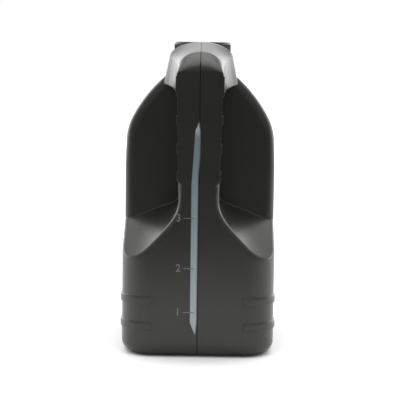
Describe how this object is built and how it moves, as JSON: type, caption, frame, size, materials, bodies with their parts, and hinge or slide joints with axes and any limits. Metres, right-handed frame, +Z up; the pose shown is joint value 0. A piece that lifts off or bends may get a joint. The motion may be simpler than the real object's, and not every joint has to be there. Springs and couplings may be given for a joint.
{
  "type": "motor oil jug",
  "caption": "Empty blow-moulded oil jug with a built-in ribbed handle, a sight strip and a screw cap that turns and lifts on its thread.",
  "frame": {"origin": "middle of the base, on the surface the jug stands on", "axes": "+Z up, the handle on the -Y side, the neck towards +Y, the width along X"},
  "size_m": [0.1422, 0.1937, 0.284],
  "materials": {
    "jug_plastic": "satin dark grey polyethylene",
    "cap_plastic": "satin black polypropylene",
    "liner_foam": "white foamed polyethylene"
  },
  "bodies": {
    "jug": {"bottle": "jug_plastic", "tamper_ring": "cap_plastic"},
    "liner": {"liner": "liner_foam"},
    "cap": {"cap": "cap_plastic"}
  },
  "joints": [
    {"name": "cap_lift", "type": "slide", "parent": "jug", "child": "liner", "axis": [0, 0, 1], "range_m": [0, 0.0121]},
    {"name": "cap_turn", "type": "hinge", "parent": "liner", "child": "cap", "pos_m": [0, 0.05, 0.27], "axis": [0, 0, 1], "range_deg": [0, 720]}
  ],
  "couplings": [
    {"joint": "cap_lift", "follows": "cap_turn", "m_per_rad": 0.00095493}
  ]
}
